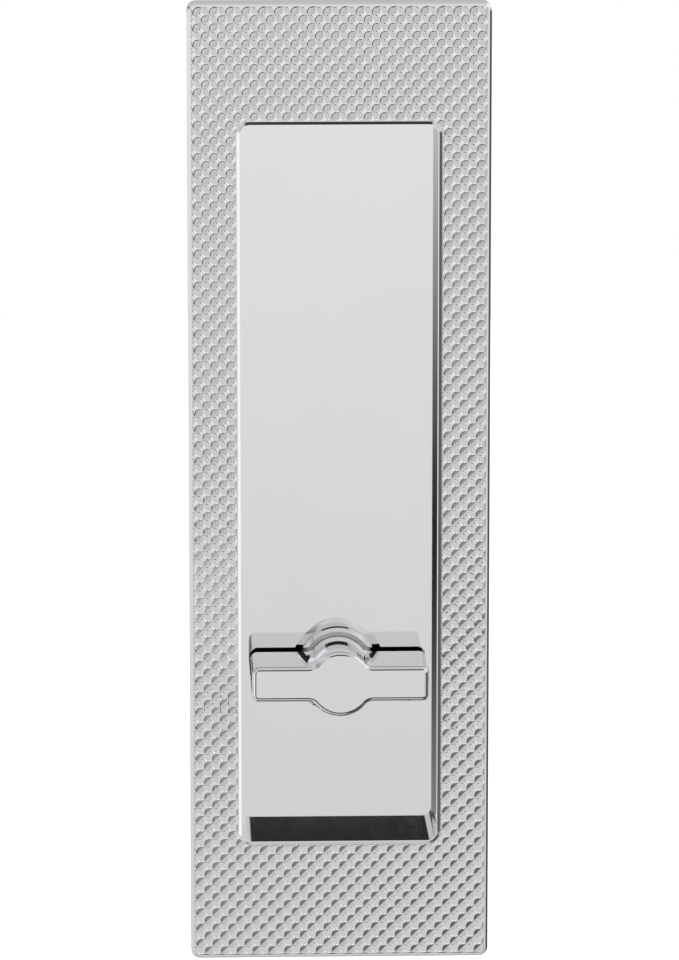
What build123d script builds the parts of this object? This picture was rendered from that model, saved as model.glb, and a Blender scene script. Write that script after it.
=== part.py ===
from build123d import *
import math
import os

# Frame: X across the door, Y into it from its face, Z up. The front of the plate faces -Y.

# Front plate
PLATE_W = 48.0
PLATE_H = 155.0
PLATE_PROUD = 4.0
PLATE_CORNER = 1.45
PLATE_BEVEL = 0.35
SKIRT = 1.2
WEB = 0.8
LIP = 0.57
RECESS_CORNER = 0.6

# Patterned inlay, bonded into the recess between the outer lip and the bead
INLAY_THICK = 1.0
INLAY_GAP = 0.05
PETAL_CELL = 1.28
PETAL_DEPTH = 0.25
FIELD_COLUMNS = 18
FIELD_ROWS = 60
POCKET_COLUMNS = 13
POCKET_ROWS = 46

# Finger pocket
POCKET_W = 31.2
POCKET_H = 116.1
POCKET_CORNER = 1.5
POCKET_DEPTH = 8.0
POCKET_WALL = 1.1
FLOOR_THICK = 1.4
BEAD = 0.62
BEAD_PROUD = 0.15
BEAD_CREST = 0.17

# Thumb turn
TURN_Z = -31.0
TURN_LENGTH = 28.3
TURN_HEIGHT = 5.6
TURN_END_RADIUS = 1.1
TURN_STAND = 13.6
TURN_GAP = 1.7
TURN_BOSS_R = 5.25
TURN_BLEND = 1.5
TURN_EDGE = 0.38
HUB_R = 5.0
HUB_FLATS = 8.8
HUB_TAIL = 1.2
QUARTER_TURN = 90.0

# Turn's bearing behind the pocket floor
BOSS_R = 10.8
BOSS_THICK = 1.3
COLLAR_R = 7.6
COLLAR_LIP_R = 6.35
COLLAR_GROOVE = 1.2
COLLAR_TAIL = 0.8
BUSH_R = 5.7
BUSH_BORE_R = 5.05
SPRING_WASHER_R = 7.0
SPRING_WASHER_HOLE_R = 5.2
SPRING_WASHER_THICK = 0.3
STOP_WASHER_THICK = 0.8
STOP_WASHER_R = 9.7
STOP_PIN_R = 0.8
STOP_PIN_RADIUS = 8.6
STOP_CLEARANCE = 0.1
RING_THICK = 0.7
RING_R = 6.4
RING_GROOVE_R = 4.4
SPINDLE_SIDE = 5.0
SPINDLE_PLAY = 0.05
SPINDLE_SEAT = 10.0
SPINDLE_END = 45.0

# Concealed fixing
BASE_THICK = 2.2
BASE_CLEARANCE = 0.1
BASE_WINDOW_CLEARANCE = 0.2
SCREW_SPACING = 137.0
SCREW_R = 2.0
SCREW_HEAD_R = 3.9
SCREW_HOLE_R = 2.2
SCREW_RELIEF_W = 13.0
SCREW_RELIEF = 0.2
SCREW_END = 22.0
SCREW_KEY = 2.5
SCREW_KEY_DEPTH = 1.3
CLIP_Z = 45.0
CLIP_BOW_R = 10.8
CLIP_STRIP = 0.35
CLIP_WIDTH = 1.0
CLIP_BITE = 0.35
CLIP_REACH = 1.75
CLIP_POCKET_LENGTH = 14.0
CLIP_GROOVE_LENGTH = 8.0
CLIP_CENTRE_Y = -1.1

# Derived places
WEB_FRONT = -(PLATE_PROUD - INLAY_THICK)
WEB_BACK = WEB_FRONT + WEB
RECESS_W = PLATE_W - 2 * LIP
RECESS_H = PLATE_H - 2 * LIP
BEAD_W = POCKET_W + 2 * BEAD
BEAD_H = POCKET_H + 2 * BEAD
CUP_W = POCKET_W + 2 * POCKET_WALL
CUP_H = POCKET_H + 2 * POCKET_WALL
POCKET_FLOOR = POCKET_DEPTH - PLATE_PROUD
CUP_BACK = POCKET_FLOOR + FLOOR_THICK
BOSS_BACK = CUP_BACK + BOSS_THICK
CUP_CORNER = POCKET_CORNER + POCKET_WALL
SKIRT_INNER_W = PLATE_W - 2 * SKIRT
SKIRT_INNER_H = PLATE_H - 2 * SKIRT
SKIRT_INNER_CORNER = 0.6
TURN_FRONT = POCKET_FLOOR - TURN_STAND
TURN_BACK = POCKET_FLOOR - TURN_GAP
COLLAR_GROOVE_END = POCKET_FLOOR + COLLAR_GROOVE
COLLAR_END = BOSS_BACK + COLLAR_TAIL
STOP_WASHER_FRONT = COLLAR_END + SPRING_WASHER_THICK + STOP_CLEARANCE
RING_FRONT = STOP_WASHER_FRONT + STOP_WASHER_THICK + STOP_CLEARANCE
HUB_END = RING_FRONT + RING_THICK + HUB_TAIL
SPINDLE_FRONT = HUB_END - SPINDLE_SEAT
SCREW_SIDES = {"top": 1, "bottom": -1}
CLIP_SIDES = {"left": -1, "right": 1}
CLIP_ENDS = {"upper": 1, "lower": -1}


def block(outline, front, back):
    """Solid of an outline drawn across and up, between two depths."""
    return extrude(Plane.XZ.offset(-back) * outline, amount=back - front)


def turned(*profile):
    """Solid turned about the thumb turn's axis from (radius, depth) points."""
    return Pos(0, 0, TURN_Z) * revolve(Polygon(*profile, align=None), axis=Axis.Y)


def at_turn(outline):
    """Outline moved to the thumb turn's axis."""
    return Pos(0, TURN_Z) * outline


# Cast body: skirt, outer lip, web, bead, finger pocket and boss
def pull_body():
    plate = block(RectangleRounded(PLATE_W, PLATE_H, PLATE_CORNER), -PLATE_PROUD, 0)
    plate = chamfer(plate.faces().sort_by(Axis.Y)[0].edges(), PLATE_BEVEL)
    plate -= block(RectangleRounded(SKIRT_INNER_W, SKIRT_INNER_H, SKIRT_INNER_CORNER), WEB_BACK, 0)
    plate -= block(RectangleRounded(RECESS_W, RECESS_H, RECESS_CORNER), -PLATE_PROUD, WEB_FRONT)

    bead = RectangleRounded(BEAD_W, BEAD_H, POCKET_CORNER + BEAD)
    crest = RectangleRounded(
        POCKET_W + 2 * BEAD_CREST,
        POCKET_H + 2 * BEAD_CREST,
        POCKET_CORNER + BEAD_CREST,
    )
    plate += block(bead, -PLATE_PROUD, WEB_FRONT)
    plate += loft([Plane.XZ.offset(PLATE_PROUD) * bead, Plane.XZ.offset(PLATE_PROUD + BEAD_PROUD) * crest])
    plate += block(RectangleRounded(CUP_W, CUP_H, CUP_CORNER), WEB_BACK, CUP_BACK)
    plate += block(at_turn(Circle(BOSS_R)), CUP_BACK, BOSS_BACK)

    pocket = RectangleRounded(POCKET_W, POCKET_H, POCKET_CORNER)
    plate -= block(pocket, -PLATE_PROUD - BEAD_PROUD, POCKET_FLOOR)
    plate -= block(at_turn(Circle(COLLAR_R)), POCKET_FLOOR, BOSS_BACK)
    plate -= stop_pin()
    for side in CLIP_SIDES.values():
        for end in CLIP_ENDS.values():
            plate -= clip_groove(side, end)
    return plate


def clip_groove(side, end):
    """Groove inside the skirt that one spring clip snaps into."""
    depth = CLIP_BITE + BASE_CLEARANCE
    outline = Rectangle(2 * depth, CLIP_GROOVE_LENGTH)
    half = CLIP_WIDTH / 2 + BASE_CLEARANCE
    groove = block(outline, CLIP_CENTRE_Y - half, CLIP_CENTRE_Y + half)
    return Pos(side * SKIRT_INNER_W / 2, 0, end * CLIP_Z) * groove


# Patterned inlay: a groove along the diagonal of every lattice cell, with a peak on each side
def inside_field(column, row):
    """True for a lattice cell, named by its lower left corner, that is in the field."""
    outside_pocket = not (
        -POCKET_COLUMNS <= column < POCKET_COLUMNS and -POCKET_ROWS <= row < POCKET_ROWS
    )
    inside_frame = -FIELD_COLUMNS <= column < FIELD_COLUMNS and -FIELD_ROWS <= row < FIELD_ROWS
    return inside_frame and outside_pocket


def is_peak(column, row):
    """Peaks and groove ends take turns along the lattice's rows and columns."""
    return (column + row) % 2 == 0


def front_point(column, row):
    return Vector(column * PETAL_CELL, -PLATE_PROUD, row * PETAL_CELL)


def lattice_point(column, row):
    """Lattice point at its own height: a peak in front, a groove's end sunk."""
    sink = 0 if is_peak(column, row) else PETAL_DEPTH
    return front_point(column, row) + Vector(0, sink, 0)


def flat_polygon(*points):
    return Face(Wire.make_polygon(points, close=True))


def petal_halves(column, row):
    """The two sloping halves of the groove in one cell."""
    corners = [(column, row), (column + 1, row), (column + 1, row + 1), (column, row + 1)]
    peaks = [lattice_point(*corner) for corner in corners if is_peak(*corner)]
    ends = [lattice_point(*corner) for corner in corners if not is_peak(*corner)]
    return [flat_polygon(peak, *ends) for peak in peaks]


def edge_walk(columns, rows):
    """Lattice points round a rectangle that is centred on the plate, in order."""
    right = [(columns, row) for row in range(-rows, rows)]
    top = [(column, rows) for column in range(columns, -columns, -1)]
    left = [(-columns, row) for row in range(rows, -rows, -1)]
    bottom = [(column, -rows) for column in range(-columns, columns)]
    return right + top + left + bottom


def field_edge(columns, rows):
    """Outline of the field along one rectangle, and the upright faces that close its grooves."""
    walk = edge_walk(columns, rows)
    outline = []
    upright = []
    for place, point in enumerate(walk):
        corner = abs(point[0]) == columns and abs(point[1]) == rows
        if is_peak(*point) or corner:
            outline.append(front_point(*point))
        if is_peak(*point):
            continue
        before = front_point(*walk[place - 1])
        after = front_point(*walk[(place + 1) % len(walk)])
        if corner:
            top = front_point(*point)
            upright.append(flat_polygon(before, top, lattice_point(*point)))
            upright.append(flat_polygon(after, top, lattice_point(*point)))
        else:
            upright.append(flat_polygon(before, lattice_point(*point), after))
    return Wire.make_polygon(outline, close=True), upright


def patterned_inlay():
    outer = RectangleRounded(
        RECESS_W - 2 * INLAY_GAP,
        RECESS_H - 2 * INLAY_GAP,
        RECESS_CORNER - INLAY_GAP,
    )
    opening = RectangleRounded(
        BEAD_W + 2 * INLAY_GAP,
        BEAD_H + 2 * INLAY_GAP,
        POCKET_CORNER + BEAD + INLAY_GAP,
    )
    blank = block(outer - opening, -PLATE_PROUD, WEB_FRONT)
    front = blank.faces().sort_by(Axis.Y)[0]
    skin = [face for face in blank.faces() if face != front]
    field_outline, field_walls = field_edge(FIELD_COLUMNS, FIELD_ROWS)
    pocket_outline, pocket_walls = field_edge(POCKET_COLUMNS, POCKET_ROWS)
    skin.append(Face(front.outer_wire(), [field_outline]))
    skin.append(Face(pocket_outline, front.inner_wires()))
    skin.extend(field_walls + pocket_walls)
    for column in range(-FIELD_COLUMNS, FIELD_COLUMNS):
        for row in range(-FIELD_ROWS, FIELD_ROWS):
            if inside_field(column, row):
                skin.extend(petal_halves(column, row))
    return Solid(Shell(skin))


# Thumb turn, cast in one piece with its hub, with a square socket for the spindle
def thumb_turn():
    outline = RectangleRounded(TURN_LENGTH, TURN_HEIGHT, TURN_END_RADIUS) + Circle(TURN_BOSS_R)
    waist = [
        vertex
        for vertex in outline.vertices()
        if TURN_BOSS_R * 0.5 < abs(vertex.X) < TURN_BOSS_R
    ]
    outline = fillet(waist, TURN_BLEND)
    grip = block(at_turn(outline), TURN_FRONT, TURN_BACK)
    grip = chamfer(grip.faces().sort_by(Axis.Y)[0].edges(), TURN_EDGE)
    hub = block(at_turn(Circle(HUB_R)), TURN_BACK, HUB_END)
    flats = block(at_turn(Rectangle(HUB_FLATS, 2 * HUB_R)), STOP_WASHER_FRONT, HUB_END)
    hub &= block(at_turn(Circle(HUB_R)), TURN_BACK, STOP_WASHER_FRONT) + flats
    groove = Circle(HUB_R) - Circle(RING_GROOVE_R)
    hub -= block(at_turn(groove), RING_FRONT, RING_FRONT + RING_THICK)
    socket_side = SPINDLE_SIDE + 2 * SPINDLE_PLAY
    turn = grip + hub
    return turn - block(at_turn(Rectangle(socket_side, socket_side)), SPINDLE_FRONT, HUB_END)


def spindle():
    bar = block(at_turn(Rectangle(SPINDLE_SIDE, SPINDLE_SIDE)), SPINDLE_FRONT, SPINDLE_END)
    return chamfer(bar.faces().sort_by(Axis.Y)[-1].edges(), SPINDLE_SIDE / 10)


# Bearing of the turn: collar, bush, disc spring, stop and retaining ring
def turn_collar():
    """Flush with the pocket floor, with a groove round the lip that holds the bush."""
    return turned(
        (COLLAR_R, POCKET_FLOOR),
        (COLLAR_R, COLLAR_END),
        (BUSH_R, COLLAR_END),
        (BUSH_R, POCKET_FLOOR),
        (COLLAR_LIP_R, POCKET_FLOOR),
        (COLLAR_LIP_R, COLLAR_GROOVE_END),
    )


def turn_bush():
    wall = Circle(BUSH_R) - Circle(BUSH_BORE_R)
    return block(at_turn(wall), POCKET_FLOOR, COLLAR_END)


def spring_washer():
    """Disc spring, pressed flat as it is when the turn is fitted."""
    disc = Circle(SPRING_WASHER_R) - Circle(SPRING_WASHER_HOLE_R)
    return block(at_turn(disc), COLLAR_END, COLLAR_END + SPRING_WASHER_THICK)


def stop_washer():
    half_stop = math.degrees(math.asin((STOP_PIN_R + STOP_CLEARANCE) / STOP_PIN_RADIUS))
    half_notch = QUARTER_TURN / 2 + half_stop
    reach = 2 * STOP_WASHER_R
    centre_angle = 90 + QUARTER_TURN / 2
    ray_angles = [centre_angle - half_notch, centre_angle + half_notch]
    rays = [
        (reach * math.cos(math.radians(angle)), reach * math.sin(math.radians(angle)))
        for angle in ray_angles
    ]
    notch = Polygon((0, 0), *rays, align=None)
    notch -= Circle(STOP_PIN_RADIUS - STOP_PIN_R - 2 * STOP_CLEARANCE)
    hole = Circle(HUB_R) & Rectangle(HUB_FLATS, 2 * HUB_R)
    disc = Circle(STOP_WASHER_R) - hole - notch
    return block(at_turn(disc), STOP_WASHER_FRONT, STOP_WASHER_FRONT + STOP_WASHER_THICK)


def stop_pin():
    outline = Pos(0, TURN_Z + STOP_PIN_RADIUS) * Circle(STOP_PIN_R)
    return block(outline, CUP_BACK, STOP_WASHER_FRONT + STOP_WASHER_THICK)


def retaining_ring():
    gap = Pos(0, -RING_R) * Rectangle(RING_R, RING_R)
    outline = Circle(RING_R) - Circle(RING_GROOVE_R) - gap
    return block(at_turn(outline), RING_FRONT, RING_FRONT + RING_THICK)


# Concealed fixing: base frame, its screws and the spring clips
def base_frame():
    width = SKIRT_INNER_W - 2 * BASE_CLEARANCE
    height = SKIRT_INNER_H - 2 * BASE_CLEARANCE
    window = 2 * BASE_WINDOW_CLEARANCE
    outline = RectangleRounded(width, height, SKIRT_INNER_CORNER)
    outline -= RectangleRounded(CUP_W + window, CUP_H + window, CUP_CORNER + window / 2)
    frame = block(outline, -BASE_THICK, 0)
    for end in SCREW_SIDES.values():
        frame -= screw_seat(end)
    for side in CLIP_SIDES.values():
        for end in CLIP_ENDS.values():
            frame -= clip_pocket(side, end)
    return frame


def screw_seat(end):
    """Countersunk hole with a shallow relief behind it for raised wood, as a solid."""
    rim_r = SCREW_HEAD_R + BASE_CLEARANCE
    depth = rim_r - SCREW_HOLE_R
    seat = revolve(
        Polygon(
            (0, -BASE_THICK),
            (rim_r, -BASE_THICK),
            (SCREW_HOLE_R, -BASE_THICK + depth),
            (SCREW_HOLE_R, 0),
            (0, 0),
            align=None,
        ),
        axis=Axis.Y,
    )
    seat += block(Rectangle(SCREW_RELIEF_W, SCREW_RELIEF_W), -SCREW_RELIEF, 0)
    return Pos(0, 0, end * SCREW_SPACING / 2) * seat


def clip_pocket(side, end):
    """Pocket in the base frame's long side for one spring clip."""
    half = CLIP_WIDTH / 2 + BASE_CLEARANCE
    outline = Rectangle(2 * CLIP_REACH, CLIP_POCKET_LENGTH)
    pocket = block(outline, CLIP_CENTRE_Y - half, CLIP_CENTRE_Y + half)
    return Pos(side * SKIRT_INNER_W / 2, 0, end * CLIP_Z) * pocket


def spring_clip(side, end):
    """Bowed leaf whose crown stands out of the base frame into the skirt's groove."""
    crown = SKIRT_INNER_W / 2 + CLIP_BITE
    foot = SKIRT_INNER_W / 2 - CLIP_REACH
    bow = Pos(crown - CLIP_BOW_R, 0) * (Circle(CLIP_BOW_R) - Circle(CLIP_BOW_R - CLIP_STRIP))
    bow &= Pos(foot + CLIP_BOW_R, 0) * Rectangle(2 * CLIP_BOW_R, 2 * CLIP_BOW_R)
    leaf = block(bow, CLIP_CENTRE_Y - CLIP_WIDTH / 2, CLIP_CENTRE_Y + CLIP_WIDTH / 2)
    if side < 0:
        leaf = mirror(leaf, about=Plane.YZ)
    return Pos(0, 0, end * CLIP_Z) * leaf


def fixing_screw(end):
    head_depth = SCREW_HEAD_R - SCREW_R
    front = -BASE_THICK + BASE_CLEARANCE
    screw = revolve(
        Polygon(
            (0, front),
            (SCREW_HEAD_R, front),
            (SCREW_R, front + head_depth),
            (SCREW_R, SCREW_END),
            (0, SCREW_END),
            align=None,
        ),
        axis=Axis.Y,
    )
    key = RegularPolygon(SCREW_KEY / 2, 6, major_radius=False)
    screw -= block(key, front, front + SCREW_KEY_DEPTH)
    return Pos(0, 0, end * SCREW_SPACING / 2) * screw


def main():
    os.makedirs("parts", exist_ok=True)
    nodes = {
        "pull_body": pull_body(),
        "patterned_inlay": patterned_inlay(),
        "thumb_turn": thumb_turn(),
        "spindle": spindle(),
        "turn_collar": turn_collar(),
        "turn_bush": turn_bush(),
        "spring_washer": spring_washer(),
        "stop_washer": stop_washer(),
        "stop_pin": stop_pin(),
        "retaining_ring": retaining_ring(),
        "base_frame": base_frame(),
    }
    for name, end in SCREW_SIDES.items():
        nodes[f"fixing_screw_{name}"] = fixing_screw(end)
    for end_name, end in CLIP_ENDS.items():
        for side_name, side in CLIP_SIDES.items():
            nodes[f"clip_{end_name}_{side_name}"] = spring_clip(side, end)
    for name, solid in nodes.items():
        export_step(solid, f"parts/{name}.step")


if __name__ == "__main__":
    main()
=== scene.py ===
import math

import bmesh
import bpy
from mathutils import Matrix, Vector


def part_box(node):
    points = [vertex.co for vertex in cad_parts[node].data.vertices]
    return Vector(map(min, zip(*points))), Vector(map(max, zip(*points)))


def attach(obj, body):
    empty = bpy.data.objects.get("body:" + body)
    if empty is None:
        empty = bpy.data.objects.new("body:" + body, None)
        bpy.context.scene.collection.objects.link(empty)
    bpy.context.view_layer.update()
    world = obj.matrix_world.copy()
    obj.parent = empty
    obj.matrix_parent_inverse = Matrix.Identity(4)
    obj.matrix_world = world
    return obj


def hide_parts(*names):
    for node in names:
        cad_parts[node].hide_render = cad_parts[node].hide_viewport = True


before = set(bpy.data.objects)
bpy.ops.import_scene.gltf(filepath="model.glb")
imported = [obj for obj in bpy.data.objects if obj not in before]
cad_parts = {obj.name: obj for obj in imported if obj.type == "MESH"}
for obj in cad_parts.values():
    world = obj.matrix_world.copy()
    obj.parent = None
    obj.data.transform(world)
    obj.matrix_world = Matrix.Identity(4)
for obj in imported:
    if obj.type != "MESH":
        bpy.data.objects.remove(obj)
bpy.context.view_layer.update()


# Pull body: one zinc casting, ground, polished and chromed all over. It is the outer lip, the
# bead round the pocket and the pocket itself. What is dark in it is what the room shows it.
class Signal:
    """A shader socket that takes part in arithmetic."""

    def __init__(self, nodes, socket):
        self.nodes = nodes
        self.socket = socket

    def maths(self, operation, *inputs):
        return self.nodes.add("ShaderNodeMath", {"operation": operation}, *inputs)[0]

    def __add__(self, other):
        return self.maths("ADD", self, other)

    def __sub__(self, other):
        return self.maths("SUBTRACT", self, other)

    def __rsub__(self, other):
        return self.maths("SUBTRACT", other, self)

    def __mul__(self, other):
        return self.maths("MULTIPLY", self, other)

    __radd__ = __add__
    __rmul__ = __mul__

    def ramp(self, low, high):
        """0 below low, 1 above high, smooth between them."""
        kind = {"interpolation_type": "SMOOTHSTEP"}
        limits = {"From Min": low, "From Max": high}
        return self.nodes.add("ShaderNodeMapRange", kind, Value=self, **limits)[0]


class Finish:
    """Node tree of one material or of the world."""

    def __init__(self, owner):
        owner.use_nodes = True
        self.tree = owner.node_tree
        self.tree.nodes.clear()

    def add(self, kind, settings, *inputs, **named):
        node = self.tree.nodes.new(kind)
        for name, value in settings.items():
            setattr(node, name, value)
        self.feed(zip(node.inputs, inputs))
        self.feed((node.inputs[name], value) for name, value in named.items())
        return [Signal(self, socket) for socket in node.outputs]

    def feed(self, pairs):
        """Links a signal to its socket, or sets a plain value on it."""
        for socket, value in pairs:
            if isinstance(value, Signal):
                self.tree.links.new(value.socket, socket)
            else:
                socket.default_value = value

    def place(self):
        """Object coordinates, in metres."""
        return self.add("ShaderNodeTexCoord", {})[3]

    def noise(self, vector, scale, detail=2.0):
        return self.add("ShaderNodeTexNoise", {}, Vector=vector, Scale=scale, Detail=detail)[0]

    def tint(self, factor, first, second):
        """Colour between two others."""
        node = self.tree.nodes.new("ShaderNodeMix")
        node.data_type = "RGBA"
        self.feed(((node.inputs[0], factor), (node.inputs[6], first), (node.inputs[7], second)))
        return Signal(self, node.outputs[2])

    def bump(self, height, strength, distance):
        return self.add("ShaderNodeBump", {}, Height=height, Strength=strength, Distance=distance)[0]

    def surface(self, **named):
        sockets = {name.replace("_", " "): value for name, value in named.items()}
        shader = self.add("ShaderNodeBsdfPrincipled", {}, **sockets)[0]
        self.add("ShaderNodeOutputMaterial", {}, shader)


def finish_material(name):
    material = bpy.data.materials.new(name)
    return material, Finish(material)


def dress(node, material):
    """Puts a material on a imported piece, and on all its faces."""
    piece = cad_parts[node]
    piece.data.materials.clear()
    piece.data.materials.append(material)


def grey(level):
    return (level, level, level, 1.0)


CHROME = (0.93, 0.935, 0.94, 1.0)
CHROME_CLOUD = (0.90, 0.905, 0.915, 1.0)


def chrome(name):
    """Polished chrome with the faint clouds that buffing leaves."""
    material, finish = finish_material(name)
    position = finish.place()
    cloud = finish.noise(position, 90.0)
    fine = finish.noise(position, 900.0, 3.0)
    colour = finish.tint(cloud, CHROME, CHROME_CLOUD)
    roughness = 0.02 + 0.03 * fine
    finish.surface(
        Base_Color=colour,
        Metallic=1.0,
        Roughness=roughness,
        Normal=finish.bump(cloud, 0.02, 0.0002),
    )
    return material


dress("pull_body", chrome("chrome_body"))


# Patterned inlay: a chromed brass plate, pressed with boat-shaped petals along both diagonals of a
# square lattice, so that flat diamonds with hollow sides stay between them. It is trimmed to the
# recess between the outer lip and the bead, through whatever petal lies there.
PETAL_CELL = 0.00128
PETAL_LENGTH = PETAL_CELL * math.sqrt(2)
PETAL_HALF_WIDTH = 0.00061
PETAL_SLOPE = math.tan(math.radians(17.0))
PETAL_RIM_SLOPE = math.tan(math.radians(35.0))
PETAL_RIM_DROP = 0.00005
PETAL_DEPTH = PETAL_SLOPE * PETAL_HALF_WIDTH + PETAL_RIM_DROP
DIAMOND_TIP = PETAL_LENGTH / 2 / PETAL_HALF_WIDTH - 1
PETAL_COLUMNS = (0.0, 0.55 * DIAMOND_TIP, DIAMOND_TIP, 1.0)
INLAY_CORNER = 0.00055
OPENING_GAP = 0.00012
OPENING_HALF_W = 0.01622 + OPENING_GAP
OPENING_HALF_H = 0.05867 + OPENING_GAP
OPENING_CORNER = 0.00212 + OPENING_GAP
CORNER_CHORDS = 6

inlay_low, inlay_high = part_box("patterned_inlay")


def petal_cell(turn):
    """One lattice cell with its petal along a diagonal, sunk along +y.

    Each half of the petal slopes down to a straight valley, and a steeper rim runs round it.
    """
    cell = bmesh.new()
    steps = len(PETAL_COLUMNS) - 1
    bmesh.ops.create_grid(cell, x_segments=2 * steps, y_segments=6, size=1.0)
    for vertex in cell.verts:
        along = math.copysign(PETAL_COLUMNS[abs(round(vertex.co.x * steps))], vertex.co.x)
        row = round(vertex.co.y * 3)
        bend = PETAL_HALF_WIDTH * (1 - along * along)
        edge = PETAL_LENGTH / 2 * (1 - abs(along))
        rim = min(bend, edge)
        crease = (PETAL_RIM_SLOPE * bend - PETAL_DEPTH) / (PETAL_RIM_SLOPE - PETAL_SLOPE)
        width = (0.0, min(max(crease, 0.0), rim), rim, edge)[abs(row)]
        sunk = min(PETAL_DEPTH - PETAL_SLOPE * width, PETAL_RIM_SLOPE * (bend - width))
        if abs(along) == 1:
            sunk = PETAL_DEPTH
        vertex.co = Vector((along * PETAL_LENGTH / 2, max(sunk, 0.0), math.copysign(width, row)))
    bmesh.ops.remove_doubles(cell, verts=cell.verts, dist=1e-6)
    cell.transform(Matrix.Rotation(math.radians(turn), 4, "Y"))
    return mesh_of(cell, "petal_cell")


def mesh_of(shape, name):
    mesh = bpy.data.meshes.new(name)
    shape.to_mesh(mesh)
    shape.free()
    return mesh


def arc(centre_x, centre_z, radius, chords):
    """Points of a quarter circle, from its right end to its top."""
    angles = [math.pi / 2 * step / chords for step in range(chords + 1)]
    return [(centre_x + radius * math.cos(a), centre_z + radius * math.sin(a)) for a in angles]


def quarter_of_field():
    """The upper right quarter of the field, in convex areas that meet along whole sides."""
    right, top = inlay_high.x, inlay_high.z
    in_x, in_z = OPENING_HALF_W, OPENING_HALF_H
    arc_x, arc_z = in_x - OPENING_CORNER, in_z - OPENING_CORNER
    rounded = arc(right - INLAY_CORNER, top - INLAY_CORNER, INLAY_CORNER, 3)
    hollow = arc(arc_x, arc_z, OPENING_CORNER, CORNER_CHORDS)
    areas = [
        [(in_x, 0), (right, 0), (right, arc_z), (in_x, arc_z)],
        [(in_x, arc_z), (right, arc_z), (right, in_z), (in_x, in_z)],
        [(in_x, in_z), (right, in_z), *rounded, (in_x, top)],
        [(0, in_z), (arc_x, in_z), (arc_x, top), (0, top)],
        [(arc_x, in_z), (in_x, in_z), (in_x, top), (arc_x, top)],
    ]
    return areas + [[(in_x, in_z), near, far] for near, far in zip(hollow, hollow[1:])]


def petals_over(area):
    """Petals over one convex area, trimmed along its sides."""
    patch = bmesh.new()
    columns = [x / PETAL_CELL for x, z in area]
    rows = [z / PETAL_CELL for x, z in area]
    for column in range(math.floor(min(columns)), math.ceil(max(columns))):
        for row in range(math.floor(min(rows)), math.ceil(max(rows))):
            placed = PETAL_CELLS[(column + row) % 2].copy()
            centre = Vector(((column + 0.5) * PETAL_CELL, inlay_low.y, (row + 0.5) * PETAL_CELL))
            placed.transform(Matrix.Translation(centre))
            patch.from_mesh(placed)
            bpy.data.meshes.remove(placed)
    middle = Vector((sum(x for x, z in area) / len(area), 0, sum(z for x, z in area) / len(area)))
    for (x, z), (next_x, next_z) in zip(area, area[1:] + area[:1]):
        corner = Vector((x, 0, z))
        outward = Vector((next_z - z, 0, x - next_x)).normalized()
        if outward.dot(corner - middle) < 0:
            outward.negate()
        whole = patch.verts[:] + patch.edges[:] + patch.faces[:]
        bmesh.ops.bisect_plane(
            patch, geom=whole, dist=1e-8, plane_co=corner, plane_no=outward, clear_outer=True
        )
    return mesh_of(patch, "petal_patch")


PETAL_CELLS = [petal_cell(45.0), petal_cell(-45.0)]
field = bmesh.new()
for side in (1, -1):
    for end in (1, -1):
        for area in quarter_of_field():
            patch = petals_over([(side * x, end * z) for x, z in area])
            field.from_mesh(patch)
            bpy.data.meshes.remove(patch)
bmesh.ops.remove_doubles(field, verts=field.verts, dist=1e-6)
rim = [edge for edge in field.edges if edge.is_boundary]
border = bmesh.ops.extrude_edge_only(field, edges=rim)["geom"]
for vertex in border:
    if isinstance(vertex, bmesh.types.BMVert):
        vertex.co.y = inlay_high.y
back_rim = [edge for edge in field.edges if edge.is_boundary]
bmesh.ops.triangle_fill(field, use_beauty=True, edges=back_rim)
bmesh.ops.recalc_face_normals(field, faces=field.faces)

inlay = bpy.data.objects.new("inlay_petals", mesh_of(field, "inlay_petals"))
bpy.context.scene.collection.objects.link(inlay)
inlay.data.materials.append(chrome("chrome_inlay"))
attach(inlay, "pull")
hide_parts("patterned_inlay")


# Thumb turn: one casting, a bar with a round middle that is blended into it. Its sides are
# straight, a small rounding runs along its front edges, and its hub goes into the bush.
spindle_low, spindle_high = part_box("spindle")
TURN_AXIS_Z = (spindle_low.z + spindle_high.z) / 2
TURN_HALF_LENGTH = 0.01415
TURN_HALF_HEIGHT = 0.0028
TURN_END_RADIUS = 0.0011
TURN_BOSS_RADIUS = 0.00525
TURN_BLEND = 0.0015
TURN_ROUNDING = 0.0007
TURN_BACK_ROUNDING = 0.0001
ROUNDING_STEPS = 6
TURN_BACK = 0.0023
HUB_RADIUS = 0.005
HUB_HALF_FLATS = 0.0044
HUB_POINTS = 64
SOCKET_HALF = 0.00255
ARC_STEPS = 10

turn_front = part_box("thumb_turn")[0].y
turn_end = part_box("thumb_turn")[1].y


def sweep_arc(centre_x, centre_z, radius, first, last):
    """Points on an arc between two angles in degrees."""
    angles = [math.radians(first + (last - first) * step / ARC_STEPS) for step in range(ARC_STEPS + 1)]
    return [(centre_x + radius * math.cos(a), centre_z + radius * math.sin(a)) for a in angles]


def turn_outline(grow):
    """The grip's outline, set outward by grow, from its right end round to the left and back."""
    boss = TURN_BOSS_RADIUS + grow
    blend = TURN_BLEND - grow
    blend_z = TURN_HALF_HEIGHT + TURN_BLEND
    reach = TURN_BOSS_RADIUS + TURN_BLEND
    blend_x = math.sqrt(reach * reach - blend_z * blend_z)
    meet = math.degrees(math.atan2(blend_z, blend_x))
    corner_x = TURN_HALF_LENGTH - TURN_END_RADIUS
    corner_z = TURN_HALF_HEIGHT - TURN_END_RADIUS
    quarter = sweep_arc(corner_x, corner_z, TURN_END_RADIUS + grow, 0, 90)
    quarter += sweep_arc(blend_x, blend_z, blend, -90, meet - 180)
    quarter += sweep_arc(0, 0, boss, meet, 90)
    upper = quarter + [(-x, z) for x, z in reversed(quarter[:-1])]
    return upper + [(-x, -z) for x, z in upper]


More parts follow.
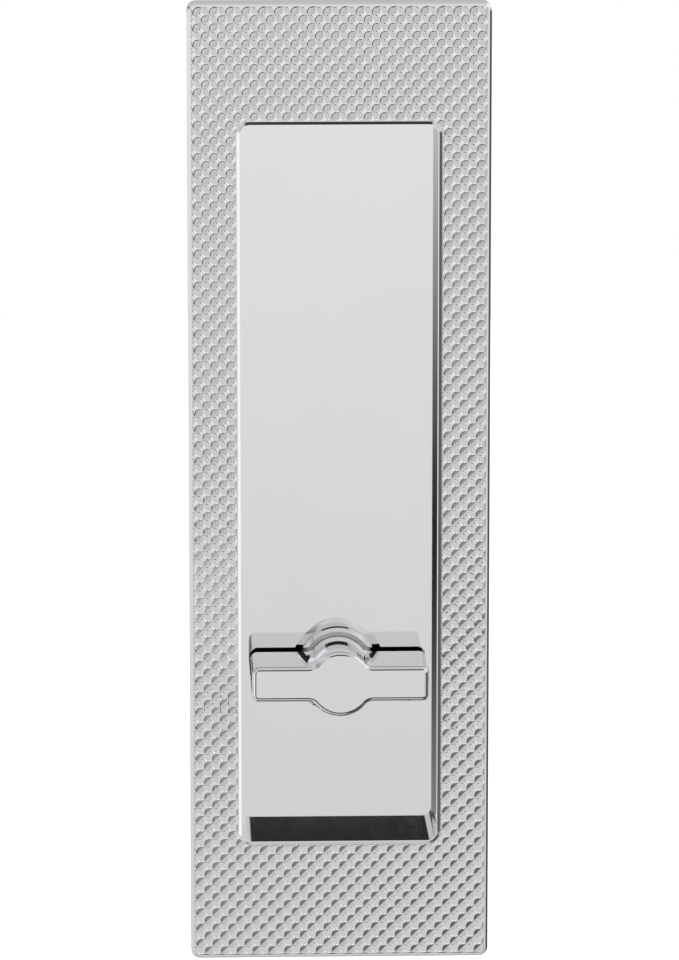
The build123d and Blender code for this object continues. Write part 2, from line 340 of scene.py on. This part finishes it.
def add_ring(shape, outline, depth):
    return [shape.verts.new((x, depth, TURN_AXIS_Z + z)) for x, z in outline]


def loft(shape, rings):
    """Skin over rings of vertices, closed at both ends."""
    for near, far in zip(rings, rings[1:]):
        for place, vertex in enumerate(near):
            shape.faces.new((vertex, near[place - 1], far[place - 1], far[place]))
    shape.faces.new(rings[0])
    shape.faces.new(list(reversed(rings[-1])))


def rounded_front(shape):
    """Rings of the grip from its back edge to the rim of its front face."""
    rings = [
        add_ring(shape, turn_outline(-TURN_BACK_ROUNDING), TURN_BACK),
        add_ring(shape, turn_outline(-TURN_BACK_ROUNDING / 4), TURN_BACK - TURN_BACK_ROUNDING / 3),
        add_ring(shape, turn_outline(0.0), TURN_BACK - TURN_BACK_ROUNDING),
    ]
    for step in range(ROUNDING_STEPS + 1):
        angle = math.radians(90 * step / ROUNDING_STEPS)
        grow = -TURN_ROUNDING * (1 - math.cos(angle))
        depth = turn_front + TURN_ROUNDING * (1 - math.sin(angle))
        rings.append(add_ring(shape, turn_outline(grow), depth))
    return rings


def hub_section(radius, half_width=1.0):
    """Circle, cut by two flats where it is wider than them."""
    angles = [2 * math.pi * step / HUB_POINTS for step in range(HUB_POINTS)]
    points = [(radius * math.cos(a), radius * math.sin(a)) for a in angles]
    return [(max(-half_width, min(half_width, x)), z) for x, z in points]


def socket_section():
    """Square with as many points as the hub has, an equal number on each side."""
    angles = [2 * math.pi * step / HUB_POINTS for step in range(HUB_POINTS)]
    scales = [SOCKET_HALF / max(abs(math.cos(a)), abs(math.sin(a))) for a in angles]
    return [(scale * math.cos(a), scale * math.sin(a)) for scale, a in zip(scales, angles)]


def hub_rings(shape):
    """Round hub with flats for the stop washer, a groove for the ring and the spindle's socket."""
    flats_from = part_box("stop_washer")[0].y
    groove_from, groove_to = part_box("retaining_ring")[0].y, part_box("retaining_ring")[1].y
    round_hub = hub_section(HUB_RADIUS)
    flat_hub = hub_section(HUB_RADIUS, HUB_HALF_FLATS)
    groove = hub_section(HUB_HALF_FLATS)
    stations = [
        (round_hub, TURN_BACK - TURN_ROUNDING),
        (round_hub, flats_from),
        (flat_hub, flats_from),
        (flat_hub, groove_from),
        (groove, groove_from),
        (groove, groove_to),
        (flat_hub, groove_to),
        (flat_hub, turn_end),
        (socket_section(), turn_end),
        (socket_section(), spindle_low.y),
    ]
    return [add_ring(shape, section, depth) for section, depth in stations]


turn_shape = bmesh.new()
loft(turn_shape, rounded_front(turn_shape))
loft(turn_shape, hub_rings(turn_shape))
bmesh.ops.remove_doubles(turn_shape, verts=turn_shape.verts, dist=1e-7)
bmesh.ops.recalc_face_normals(turn_shape, faces=turn_shape.faces)
turn = bpy.data.objects.new("turn_grip", mesh_of(turn_shape, "turn_grip"))
bpy.context.scene.collection.objects.link(turn)
turn.data.materials.append(chrome("chrome_turn"))
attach(turn, "turn")
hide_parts("thumb_turn")


# Bearing of the turn: a chromed collar with a groove, a pale polymer bush, and zinc-plated or
# spring steel parts behind the pocket floor.
dress("turn_collar", chrome("chrome_collar"))


def plain(name, colour, metallic, roughness, grain=0.1):
    material, finish = finish_material(name)
    position = finish.place()
    cloud = finish.noise(position, 400.0, 4.0)
    darker = tuple(c * 0.82 for c in colour[:3]) + (1.0,)
    finish.surface(
        Base_Color=finish.tint(cloud, colour, darker),
        Metallic=metallic,
        Roughness=roughness - grain / 2 + grain * cloud,
        Normal=finish.bump(cloud, 0.05, 0.0001),
    )
    return material


BLACK = plain("black_polymer", grey(0.02), 0.0, 0.5)
BEARING = plain("bearing_polymer", grey(0.95), 0.0, 0.35)
ZINC = plain("zinc_steel", (0.62, 0.64, 0.66, 1.0), 1.0, 0.35)
SPRING = plain("spring_steel", (0.40, 0.41, 0.43, 1.0), 1.0, 0.3)
dress("turn_bush", BEARING)
for node in ("stop_washer", "stop_pin", "retaining_ring", "spindle"):
    dress(node, ZINC)
for node in ("fixing_screw_top", "fixing_screw_bottom"):
    dress(node, ZINC)
for node in ("spring_washer", "clip_upper_left", "clip_upper_right", "clip_lower_left", "clip_lower_right"):
    dress(node, SPRING)
dress("base_frame", BLACK)


# Room: light in front, with cards that the petals and the bead mirror. Each card is a level of
# light between two limits to the east and two in height. Behind the pull the camera sees white.
LEVELS = (
    (0.0, 0.60),
    (0.11, 0.66),
    (0.25, 0.64),
    (0.37, 0.67),
    (0.44, 0.81),
    (0.56, 0.64),
    (0.70, 0.64),
    (1.0, 0.58),
)
CARDS = (
    (1.00, 0.50, 1.00, 0.32, 0.80),
    (0.56, -0.60, -0.15, 0.02, 0.45),
    (0.24, -1.00, -0.50, 0.32, 0.58),
    (0.06, -0.46, -0.13, -0.34, 0.00),
    (1.00, -0.80, -0.48, -0.40, 0.02),
    (0.11, 0.30, 0.85, -0.34, 0.02),
    (0.04, -0.24, 0.24, 0.30, 0.75),
    (0.04, -0.24, 0.24, -0.75, -0.35),
    (0.04, -0.30, 0.30, -1.20, -0.93),
)
CARD_EDGE = 0.06
LOWER_RIGHT_LEVEL = 0.09
WALL_CARD_LEVEL = 0.02
BEHIND_LEVEL = 0.50

world = bpy.data.worlds.new("room")
bpy.context.scene.world = world
sky = Finish(world)
direction = sky.add("ShaderNodeTexCoord", {})[0]
east, north, height = sky.add("ShaderNodeSeparateXYZ", {}, direction)
ramp = sky.tree.nodes.new("ShaderNodeValToRGB")
while len(ramp.color_ramp.elements) < len(LEVELS):
    ramp.color_ramp.elements.new(0.5)
for element, (place, level) in zip(ramp.color_ramp.elements, LEVELS):
    element.position = place
    element.color = grey(level)
sky.tree.links.new((height * 0.5 + 0.5).socket, ramp.inputs[0])
room_colour = Signal(sky, ramp.outputs[0])


def between(signal, low, high):
    above = signal.ramp(low - CARD_EDGE, low + CARD_EDGE)
    return above * (1 - signal.ramp(high - CARD_EDGE, high + CARD_EDGE))


for level, west_end, east_end, low, high in CARDS:
    card = between(east, west_end, east_end) * between(height, low, high)
    room_colour = sky.tint(card, room_colour, grey(level))
# Two dark cards with sharper edges, which the pocket's lower and right walls mirror.
over_lower_wall = between(east, -0.24, 0.24) * height.ramp(0.228, 0.242)
over_lower_wall = over_lower_wall * (1 - height.ramp(0.30, 0.36))
room_colour = sky.tint(over_lower_wall, room_colour, grey(WALL_CARD_LEVEL))
beside_right_wall = (1 - east.ramp(-0.015, 0.003)) * east.ramp(-0.11, -0.09)
beside_right_wall = beside_right_wall * between(height, -0.26, -0.14)
room_colour = sky.tint(beside_right_wall, room_colour, grey(WALL_CARD_LEVEL))
across_card = (east - height) * math.sqrt(0.5)
along_card = (east + height) * math.sqrt(0.5)
lower_right = across_card.ramp(0.620, 0.745) * along_card.ramp(-0.60, -0.40)
room_colour = sky.tint(lower_right, room_colour, grey(LOWER_RIGHT_LEVEL))
room_colour = sky.tint(north.ramp(0.05, 0.30), room_colour, grey(BEHIND_LEVEL))
seen = sky.add("ShaderNodeLightPath", {})[0]
shown = sky.tint(seen, room_colour, grey(1.0))
background = sky.add("ShaderNodeBackground", {}, shown, 1.0)[0]
sky.add("ShaderNodeOutputWorld", {}, background)

# Floor: pale, below the pull, and not seen by its mirrors.
floor_shape = bmesh.new()
bmesh.ops.create_circle(floor_shape, cap_ends=True, segments=64, radius=2.0)
floor = bpy.data.objects.new("floor", mesh_of(floor_shape, "floor"))
floor.location.z = -0.30
bpy.context.scene.collection.objects.link(floor)
floor_material, paint = finish_material("floor_paint")
camera_ray, shadow_ray, diffuse_ray, glossy_ray = paint.add("ShaderNodeLightPath", {})[:4]
matt = paint.add("ShaderNodeBsdfDiffuse", {}, grey(0.9))[0]
glow = paint.add("ShaderNodeEmission", {}, grey(1.0), camera_ray * 0.80)[0]
lit = paint.add("ShaderNodeAddShader", {}, matt, glow)[0]
clear = paint.add("ShaderNodeBsdfTransparent", {})[0]
paint.add("ShaderNodeOutputMaterial", {}, paint.add("ShaderNodeMixShader", {}, glossy_ray, lit, clear)[0])
floor.data.materials.append(floor_material)

# Camera: in front, well above the pull and a little to its left, far enough off that the plate's
# edges stay nearly parallel.
CAMERA_PLACE = Vector((-0.0307, -0.904, 0.1745))
CAMERA_AIM = Vector((0.0, -0.004, 0.0012))
FRAME_HALF = 0.0765
camera_data = bpy.data.cameras.new("camera")
camera = bpy.data.objects.new("camera", camera_data)
bpy.context.scene.collection.objects.link(camera)
line_of_sight = CAMERA_AIM - CAMERA_PLACE
camera.location = CAMERA_PLACE
camera.rotation_euler = line_of_sight.to_track_quat("-Z", "Y").to_euler()
camera_data.lens = camera_data.sensor_width / 2 * line_of_sight.length / FRAME_HALF
camera_data.clip_end = 20.0
bpy.context.scene.camera = camera
bpy.context.scene.view_settings.view_transform = "Standard"
